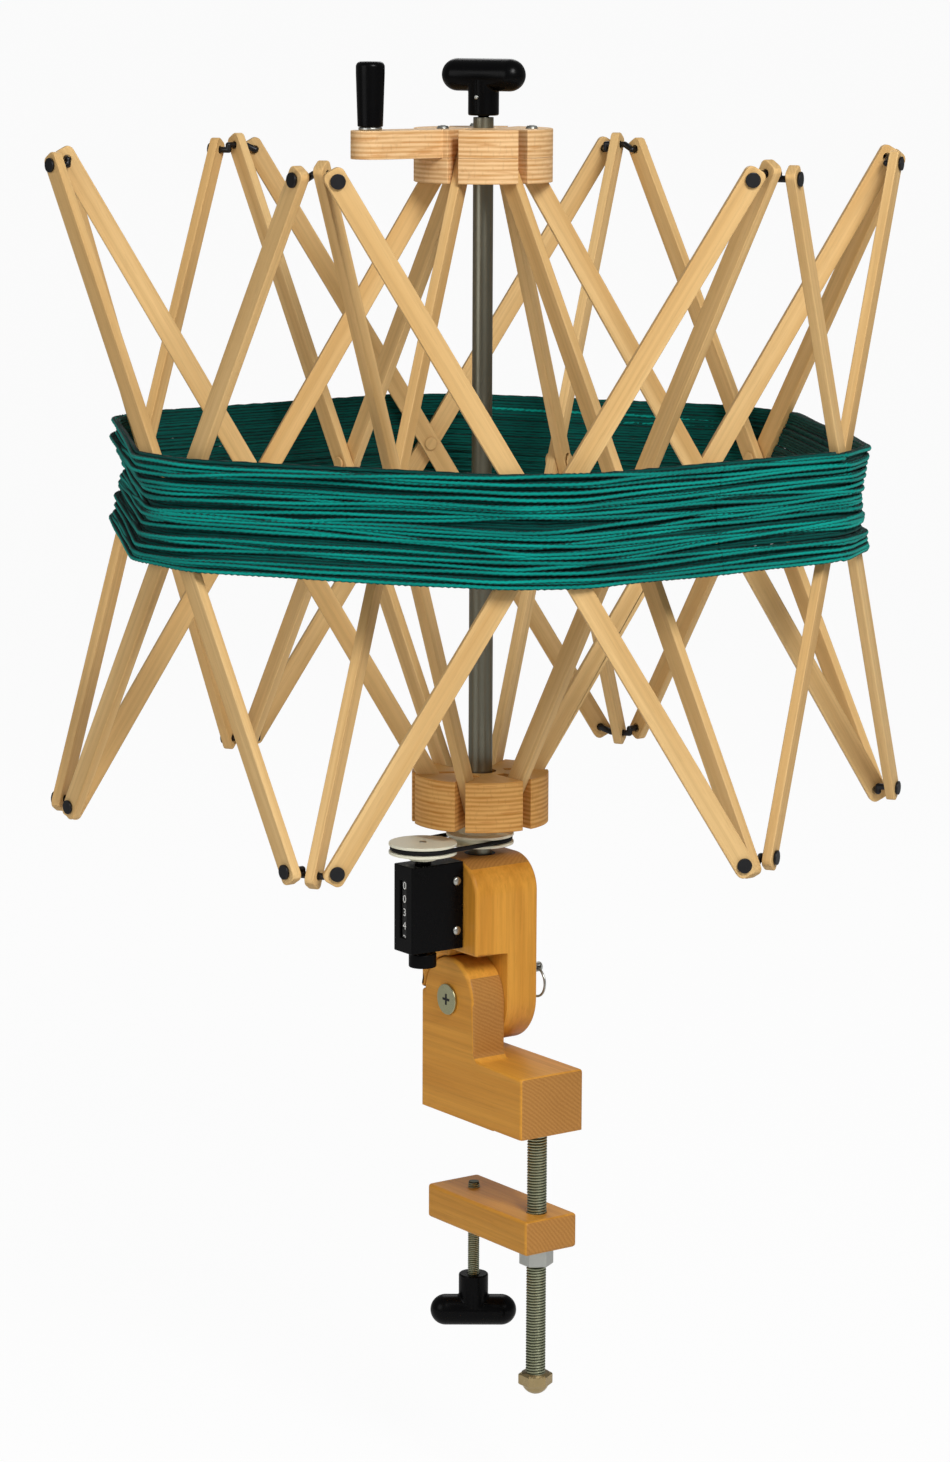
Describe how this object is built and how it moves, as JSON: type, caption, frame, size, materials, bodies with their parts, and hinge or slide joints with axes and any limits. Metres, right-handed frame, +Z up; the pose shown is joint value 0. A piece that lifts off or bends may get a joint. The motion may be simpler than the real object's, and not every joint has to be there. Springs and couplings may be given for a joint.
{
  "type": "umbrella swift",
  "caption": "Table-clamped umbrella swift: folding slat cage that holds a yarn skein on a telescoping shaft, with crank, turn counter and tilting head.",
  "frame": {"origin": "on the spin axis, in the plane of the underside of the base", "axes": "+Z up along the shaft, +X out over the table edge towards the clamp post, +Y right-handed"},
  "size_m": [0.6806, 0.6224, 1.0545],
  "materials": {
    "block_maple": "satin lacquer",
    "birch_plywood": "bare, layered edge",
    "slat_maple": "bare, fine sanded",
    "black_metal": "semi-gloss",
    "zinc_steel": "zinc plated",
    "tube_steel": "drawn, dull",
    "bush_plastic": "plain",
    "black_plastic": "moulded gloss",
    "white_plastic": "turned nylon",
    "belt_rubber": "matte",
    "yarn": "plied wool"
  },
  "bodies": {
    "base": {"base_block": "block_maple", "clamp_post": "zinc_steel", "pivot_bolt": "zinc_steel"},
    "head": {"head_block": "block_maple", "shaft_bushes": "bush_plastic", "counter_case": "black_plastic", "drive_belt": "belt_rubber"},
    "rotor": {"outer_tube": "tube_steel", "lower_hub": "birch_plywood", "drive_pulley": "white_plastic", "yarn_skein": "yarn"},
    "lock_pin": {"lock_pin": "zinc_steel"},
    "pull_ring": {"pull_ring": "zinc_steel"},
    "counter_pulley": {"counter_pulley": "white_plastic"},
    "reset_knob": {"reset_knob": "black_plastic"},
    "lock_handle": {"lock_handle": "black_plastic"},
    "crank_grip": {"crank_grip": "black_plastic"},
    "clamp_bar": {"clamp_bar": "block_maple"},
    "clamp_nut": {"clamp_nut": "zinc_steel"},
    "clamp_screw": {"clamp_screw": "zinc_steel"},
    "clamp_handle": {"clamp_handle": "black_plastic"},
    "upper_hub": {"upper_hub": "birch_plywood", "upper_hub_screws": "zinc_steel", "inner_tube": "tube_steel"},
    "lower_arm_1": {"lower_arm_1": "slat_maple"},
    "lower_arm_2": {"lower_arm_2": "slat_maple"},
    "lower_arm_3": {"lower_arm_3": "slat_maple"},
    "lower_arm_4": {"lower_arm_4": "slat_maple"},
    "lower_arm_5": {"lower_arm_5": "slat_maple"},
    "lower_arm_6": {"lower_arm_6": "slat_maple"},
    "upper_tip_pin_1": {"upper_tip_pin_1": "black_metal"},
    "upper_tip_pin_2": {"upper_tip_pin_2": "black_metal"},
    "upper_tip_pin_3": {"upper_tip_pin_3": "black_metal"},
    "upper_tip_pin_4": {"upper_tip_pin_4": "black_metal"},
    "upper_tip_pin_5": {"upper_tip_pin_5": "black_metal"},
    "upper_tip_pin_6": {"upper_tip_pin_6": "black_metal"},
    "outer_slat_1": {"outer_slat_1": "slat_maple"},
    "outer_slat_2": {"outer_slat_2": "slat_maple"},
    "outer_slat_3": {"outer_slat_3": "slat_maple"},
    "outer_slat_4": {"outer_slat_4": "slat_maple"},
    "outer_slat_5": {"outer_slat_5": "slat_maple"},
    "outer_slat_6": {"outer_slat_6": "slat_maple"},
    "inner_slat_1": {"inner_slat_1": "slat_maple"},
    "inner_slat_2": {"inner_slat_2": "slat_maple"},
    "inner_slat_3": {"inner_slat_3": "slat_maple"},
    "inner_slat_4": {"inner_slat_4": "slat_maple"},
    "inner_slat_5": {"inner_slat_5": "slat_maple"},
    "inner_slat_6": {"inner_slat_6": "slat_maple"},
    "lower_tip_pin_1": {"lower_tip_pin_1": "black_metal"},
    "lower_tip_pin_2": {"lower_tip_pin_2": "black_metal"},
    "lower_tip_pin_3": {"lower_tip_pin_3": "black_metal"},
    "lower_tip_pin_4": {"lower_tip_pin_4": "black_metal"},
    "lower_tip_pin_5": {"lower_tip_pin_5": "black_metal"},
    "lower_tip_pin_6": {"lower_tip_pin_6": "black_metal"},
    "upper_arm_1": {"upper_arm_1": "slat_maple"},
    "upper_arm_2": {"upper_arm_2": "slat_maple"},
    "upper_arm_3": {"upper_arm_3": "slat_maple"},
    "upper_arm_4": {"upper_arm_4": "slat_maple"},
    "upper_arm_5": {"upper_arm_5": "slat_maple"},
    "upper_arm_6": {"upper_arm_6": "slat_maple"}
  },
  "joints": [
    {"name": "tilt", "type": "hinge", "parent": "base", "child": "head", "pos_m": [0, 0, 0.095], "axis": [0, 1, 0], "range_deg": [0, 90]},
    {"name": "spin", "type": "hinge", "parent": "head", "child": "rotor", "pos_m": [0, 0, 0.3], "axis": [0, 0, 1], "continuous": true},
    {"name": "counter_turn", "type": "hinge", "parent": "head", "child": "counter_pulley", "pos_m": [0.008, -0.061, 0.2235], "axis": [0, 0, 1], "continuous": true},
    {"name": "reset_turn", "type": "hinge", "parent": "head", "child": "reset_knob", "pos_m": [0.008, -0.061, 0.133], "axis": [0, 0, 1], "continuous": true},
    {"name": "lock_pull", "type": "slide", "parent": "head", "child": "lock_pin", "axis": [0, 1, 0], "range_m": [0, 0.03]},
    {"name": "ring_swing", "type": "hinge", "parent": "lock_pin", "child": "pull_ring", "pos_m": [0.018, 0.04325, 0.115], "axis": [1, 0, 0], "range_deg": [-20, 80]},
    {"name": "bar_slide", "type": "slide", "parent": "base", "child": "clamp_bar", "axis": [0, 0, 1], "range_m": [-0.08, 0.03]},
    {"name": "nut_turn", "type": "hinge", "parent": "clamp_bar", "child": "clamp_nut", "pos_m": [0.08, 0, -0.1], "axis": [0, 0, 1], "continuous": true},
    {"name": "screw_slide", "type": "slide", "parent": "clamp_bar", "child": "clamp_screw", "axis": [0, 0, 1], "range_m": [-0.004, 0.022]},
    {"name": "clamp_turn", "type": "hinge", "parent": "clamp_screw", "child": "clamp_handle", "pos_m": [-0.006, 0, -0.15], "axis": [0, 0, 1], "range_deg": [-900, 4980]},
    {"name": "fold", "type": "hinge", "parent": "rotor", "child": "lower_arm_1", "pos_m": [0.03173, 0.00578, 0.2583], "axis": [0.0558, -0.9984, 0], "range_deg": [0, 21.87], "deforming": ["yarn_skein"]},
    {"name": "lower_arm_2_fold", "type": "hinge", "parent": "rotor", "child": "lower_arm_2", "pos_m": [0.01086, 0.03037, 0.2583], "axis": [0.8926, -0.4509, 0], "range_deg": [0, 22]},
    {"name": "lower_arm_3_fold", "type": "hinge", "parent": "rotor", "child": "lower_arm_3", "pos_m": [-0.02087, 0.02459, 0.2583], "axis": [0.8368, 0.5476, 0], "range_deg": [0, 22]},
    {"name": "lower_arm_4_fold", "type": "hinge", "parent": "rotor", "child": "lower_arm_4", "pos_m": [-0.03173, -0.00578, 0.2583], "axis": [-0.0558, 0.9984, 0], "range_deg": [0, 22]},
    {"name": "lower_arm_5_fold", "type": "hinge", "parent": "rotor", "child": "lower_arm_5", "pos_m": [-0.01086, -0.03037, 0.2583], "axis": [-0.8926, 0.4509, 0], "range_deg": [0, 22]},
    {"name": "lower_arm_6_fold", "type": "hinge", "parent": "rotor", "child": "lower_arm_6", "pos_m": [0.02087, -0.02459, 0.2583], "axis": [-0.8368, -0.5476, 0], "range_deg": [0, 22]},
    {"name": "upper_tip_pin_1_fold", "type": "hinge", "parent": "lower_arm_1", "child": "upper_tip_pin_1", "pos_m": [0.32127, 0.02197, 0.7606], "axis": [-0.0558, 0.9984, 0], "range_deg": [0, 22]},
    {"name": "upper_tip_pin_2_fold", "type": "hinge", "parent": "lower_arm_2", "child": "upper_tip_pin_2", "pos_m": [0.14161, 0.28921, 0.7606], "axis": [-0.8926, 0.4509, 0], "range_deg": [0, 22]},
    {"name": "upper_tip_pin_3_fold", "type": "hinge", "parent": "lower_arm_3", "child": "upper_tip_pin_3", "pos_m": [-0.17966, 0.26724, 0.7606], "axis": [-0.8368, -0.5476, 0], "range_deg": [0, 22]},
    {"name": "upper_tip_pin_4_fold", "type": "hinge", "parent": "lower_arm_4", "child": "upper_tip_pin_4", "pos_m": [-0.32127, -0.02197, 0.7606], "axis": [0.0558, -0.9984, 0], "range_deg": [0, 22]},
    {"name": "upper_tip_pin_5_fold", "type": "hinge", "parent": "lower_arm_5", "child": "upper_tip_pin_5", "pos_m": [-0.14161, -0.28921, 0.7606], "axis": [0.8926, -0.4509, 0], "range_deg": [0, 22]},
    {"name": "upper_tip_pin_6_fold", "type": "hinge", "parent": "lower_arm_6", "child": "upper_tip_pin_6", "pos_m": [0.17966, -0.26724, 0.7606], "axis": [0.8368, 0.5476, 0], "range_deg": [0, 22]},
    {"name": "outer_slat_1_fold", "type": "hinge", "parent": "upper_tip_pin_1", "child": "outer_slat_1", "pos_m": [0.33022, 0.03759, 0.7566], "axis": [-0.8368, -0.5476, 0], "range_deg": [0, 22.2]},
    {"name": "outer_slat_2_fold", "type": "hinge", "parent": "upper_tip_pin_2", "child": "outer_slat_2", "pos_m": [0.13256, 0.30478, 0.7566], "axis": [0.0558, -0.9984, 0], "range_deg": [0, 22.2]},
    {"name": "outer_slat_3_fold", "type": "hinge", "parent": "upper_tip_pin_3", "child": "outer_slat_3", "pos_m": [-0.19767, 0.26718, 0.7566], "axis": [0.8926, -0.4509, 0], "range_deg": [0, 22.2]},
    {"name": "outer_slat_4_fold", "type": "hinge", "parent": "upper_tip_pin_4", "child": "outer_slat_4", "pos_m": [-0.33022, -0.03759, 0.7566], "axis": [0.8368, 0.5476, 0], "range_deg": [0, 22.2]},
    {"name": "outer_slat_5_fold", "type": "hinge", "parent": "upper_tip_pin_5", "child": "outer_slat_5", "pos_m": [-0.13256, -0.30478, 0.7566], "axis": [-0.0558, 0.9984, 0], "range_deg": [0, 22.2]},
    {"name": "outer_slat_6_fold", "type": "hinge", "parent": "upper_tip_pin_6", "child": "outer_slat_6", "pos_m": [0.19767, -0.26718, 0.7566], "axis": [-0.8926, 0.4509, 0], "range_deg": [0, 22.2]},
    {"name": "inner_slat_1_fold", "type": "hinge", "parent": "upper_tip_pin_2", "child": "inner_slat_1", "pos_m": [0.15929, 0.28273, 0.7566], "axis": [0.8368, 0.5476, 0], "range_deg": [0, 22.2]},
    {"name": "inner_slat_2_fold", "type": "hinge", "parent": "upper_tip_pin_3", "child": "inner_slat_2", "pos_m": [-0.16521, 0.27931, 0.7566], "axis": [-0.0558, 0.9984, 0], "range_deg": [0, 22.2]},
    {"name": "inner_slat_3_fold", "type": "hinge", "parent": "upper_tip_pin_4", "child": "inner_slat_3", "pos_m": [-0.3245, -0.00342, 0.7566], "axis": [-0.8926, 0.4509, 0], "range_deg": [0, 22.2]},
    {"name": "inner_slat_4_fold", "type": "hinge", "parent": "upper_tip_pin_5", "child": "inner_slat_4", "pos_m": [-0.15929, -0.28273, 0.7566], "axis": [-0.8368, -0.5476, 0], "range_deg": [0, 22.2]},
    {"name": "inner_slat_5_fold", "type": "hinge", "parent": "upper_tip_pin_6", "child": "inner_slat_5", "pos_m": [0.16521, -0.27931, 0.7566], "axis": [0.0558, -0.9984, 0], "range_deg": [0, 22.2]},
    {"name": "inner_slat_6_fold", "type": "hinge", "parent": "upper_tip_pin_1", "child": "inner_slat_6", "pos_m": [0.3245, 0.00342, 0.7566], "axis": [0.8926, -0.4509, 0], "range_deg": [0, 22.2]},
    {"name": "lower_tip_pin_1_fold", "type": "hinge", "parent": "outer_slat_6", "child": "lower_tip_pin_1", "pos_m": [0.33235, -0.00055, 0.25944], "axis": [0.8926, -0.4509, 0], "range_deg": [0, 22.2]},
    {"name": "lower_tip_pin_2_fold", "type": "hinge", "parent": "outer_slat_1", "child": "lower_tip_pin_2", "pos_m": [0.16665, 0.28755, 0.25944], "axis": [0.8368, 0.5476, 0], "range_deg": [0, 22.2]},
    {"name": "lower_tip_pin_3_fold", "type": "hinge", "parent": "outer_slat_2", "child": "lower_tip_pin_3", "pos_m": [-0.1657, 0.2881, 0.25944], "axis": [-0.0558, 0.9984, 0], "range_deg": [0, 22.2]},
    {"name": "lower_tip_pin_4_fold", "type": "hinge", "parent": "outer_slat_3", "child": "lower_tip_pin_4", "pos_m": [-0.33235, 0.00055, 0.25944], "axis": [-0.8926, 0.4509, 0], "range_deg": [0, 22.2]},
    {"name": "lower_tip_pin_5_fold", "type": "hinge", "parent": "outer_slat_4", "child": "lower_tip_pin_5", "pos_m": [-0.16665, -0.28755, 0.25944], "axis": [-0.8368, -0.5476, 0], "range_deg": [0, 22.2]},
    {"name": "lower_tip_pin_6_fold", "type": "hinge", "parent": "outer_slat_5", "child": "lower_tip_pin_6", "pos_m": [0.1657, -0.2881, 0.25944], "axis": [0.0558, -0.9984, 0], "range_deg": [0, 22.2]},
    {"name": "upper_arm_1_fold", "type": "hinge", "parent": "lower_tip_pin_1", "child": "upper_arm_1", "pos_m": [0.32171, 0.01398, 0.25544], "axis": [-0.0558, 0.9984, 0], "range_deg": [0, 22]},
    {"name": "upper_arm_2_fold", "type": "hinge", "parent": "lower_tip_pin_2", "child": "upper_arm_2", "pos_m": [0.14875, 0.2856, 0.25544], "axis": [-0.8926, 0.4509, 0], "range_deg": [0, 22]},
    {"name": "upper_arm_3_fold", "type": "hinge", "parent": "lower_tip_pin_3", "child": "upper_arm_3", "pos_m": [-0.17297, 0.27162, 0.25544], "axis": [-0.8368, -0.5476, 0], "range_deg": [0, 22]},
    {"name": "upper_arm_4_fold", "type": "hinge", "parent": "lower_tip_pin_4", "child": "upper_arm_4", "pos_m": [-0.32171, -0.01398, 0.25544], "axis": [0.0558, -0.9984, 0], "range_deg": [0, 22]},
    {"name": "upper_arm_5_fold", "type": "hinge", "parent": "lower_tip_pin_5", "child": "upper_arm_5", "pos_m": [-0.14875, -0.2856, 0.25544], "axis": [0.8926, -0.4509, 0], "range_deg": [0, 22]},
    {"name": "upper_arm_6_fold", "type": "hinge", "parent": "lower_tip_pin_6", "child": "upper_arm_6", "pos_m": [0.17297, -0.27162, 0.25544], "axis": [0.8368, 0.5476, 0], "range_deg": [0, 22]},
    {"name": "upper_hub_fold", "type": "hinge", "parent": "upper_arm_1", "child": "upper_hub", "pos_m": [0.03217, -0.00221, 0.75774], "axis": [0.0558, -0.9984, 0], "range_deg": [0, 22]},
    {"name": "lock_twist", "type": "hinge", "parent": "upper_hub", "child": "lock_handle", "pos_m": [0, 0, 0.8], "axis": [0, 0, 1], "range_deg": [0, 180]},
    {"name": "grip_spin", "type": "hinge", "parent": "upper_hub", "child": "crank_grip", "pos_m": [0.00614, -0.10983, 0.81], "axis": [0, 0, 1], "continuous": true}
  ],
  "couplings": [
    {"joint": "counter_turn", "follows": "spin", "ratio": 1},
    {"joint": "screw_slide", "follows": "clamp_turn", "m_per_rad": 0.00025266},
    {"joint": "lower_arm_2_fold", "follows": "fold", "ratio": 1},
    {"joint": "lower_arm_3_fold", "follows": "fold", "ratio": 1},
    {"joint": "lower_arm_4_fold", "follows": "fold", "ratio": 1},
    {"joint": "lower_arm_5_fold", "follows": "fold", "ratio": 1},
    {"joint": "lower_arm_6_fold", "follows": "fold", "ratio": 1},
    {"joint": "upper_tip_pin_1_fold", "follows": "fold", "ratio": 1},
    {"joint": "upper_tip_pin_2_fold", "follows": "fold", "ratio": 1},
    {"joint": "upper_tip_pin_3_fold", "follows": "fold", "ratio": 1},
    {"joint": "upper_tip_pin_4_fold", "follows": "fold", "ratio": 1},
    {"joint": "upper_tip_pin_5_fold", "follows": "fold", "ratio": 1},
    {"joint": "upper_tip_pin_6_fold", "follows": "fold", "ratio": 1},
    {"joint": "outer_slat_1_fold", "follows": "fold", "ratio": 1.0059},
    {"joint": "outer_slat_2_fold", "follows": "fold", "ratio": 1.0059},
    {"joint": "outer_slat_3_fold", "follows": "fold", "ratio": 1.0059},
    {"joint": "outer_slat_4_fold", "follows": "fold", "ratio": 1.0059},
    {"joint": "outer_slat_5_fold", "follows": "fold", "ratio": 1.0059},
    {"joint": "outer_slat_6_fold", "follows": "fold", "ratio": 1.0059},
    {"joint": "inner_slat_1_fold", "follows": "fold", "ratio": 1.0059},
    {"joint": "inner_slat_2_fold", "follows": "fold", "ratio": 1.0059},
    {"joint": "inner_slat_3_fold", "follows": "fold", "ratio": 1.0059},
    {"joint": "inner_slat_4_fold", "follows": "fold", "ratio": 1.0059},
    {"joint": "inner_slat_5_fold", "follows": "fold", "ratio": 1.0059},
    {"joint": "inner_slat_6_fold", "follows": "fold", "ratio": 1.0059},
    {"joint": "lower_tip_pin_1_fold", "follows": "fold", "ratio": 1.0059},
    {"joint": "lower_tip_pin_2_fold", "follows": "fold", "ratio": 1.0059},
    {"joint": "lower_tip_pin_3_fold", "follows": "fold", "ratio": 1.0059},
    {"joint": "lower_tip_pin_4_fold", "follows": "fold", "ratio": 1.0059},
    {"joint": "lower_tip_pin_5_fold", "follows": "fold", "ratio": 1.0059},
    {"joint": "lower_tip_pin_6_fold", "follows": "fold", "ratio": 1.0059},
    {"joint": "upper_arm_1_fold", "follows": "fold", "ratio": 1},
    {"joint": "upper_arm_2_fold", "follows": "fold", "ratio": 1},
    {"joint": "upper_arm_3_fold", "follows": "fold", "ratio": 1},
    {"joint": "upper_arm_4_fold", "follows": "fold", "ratio": 1},
    {"joint": "upper_arm_5_fold", "follows": "fold", "ratio": 1},
    {"joint": "upper_arm_6_fold", "follows": "fold", "ratio": 1},
    {"joint": "upper_hub_fold", "follows": "fold", "ratio": 1}
  ]
}
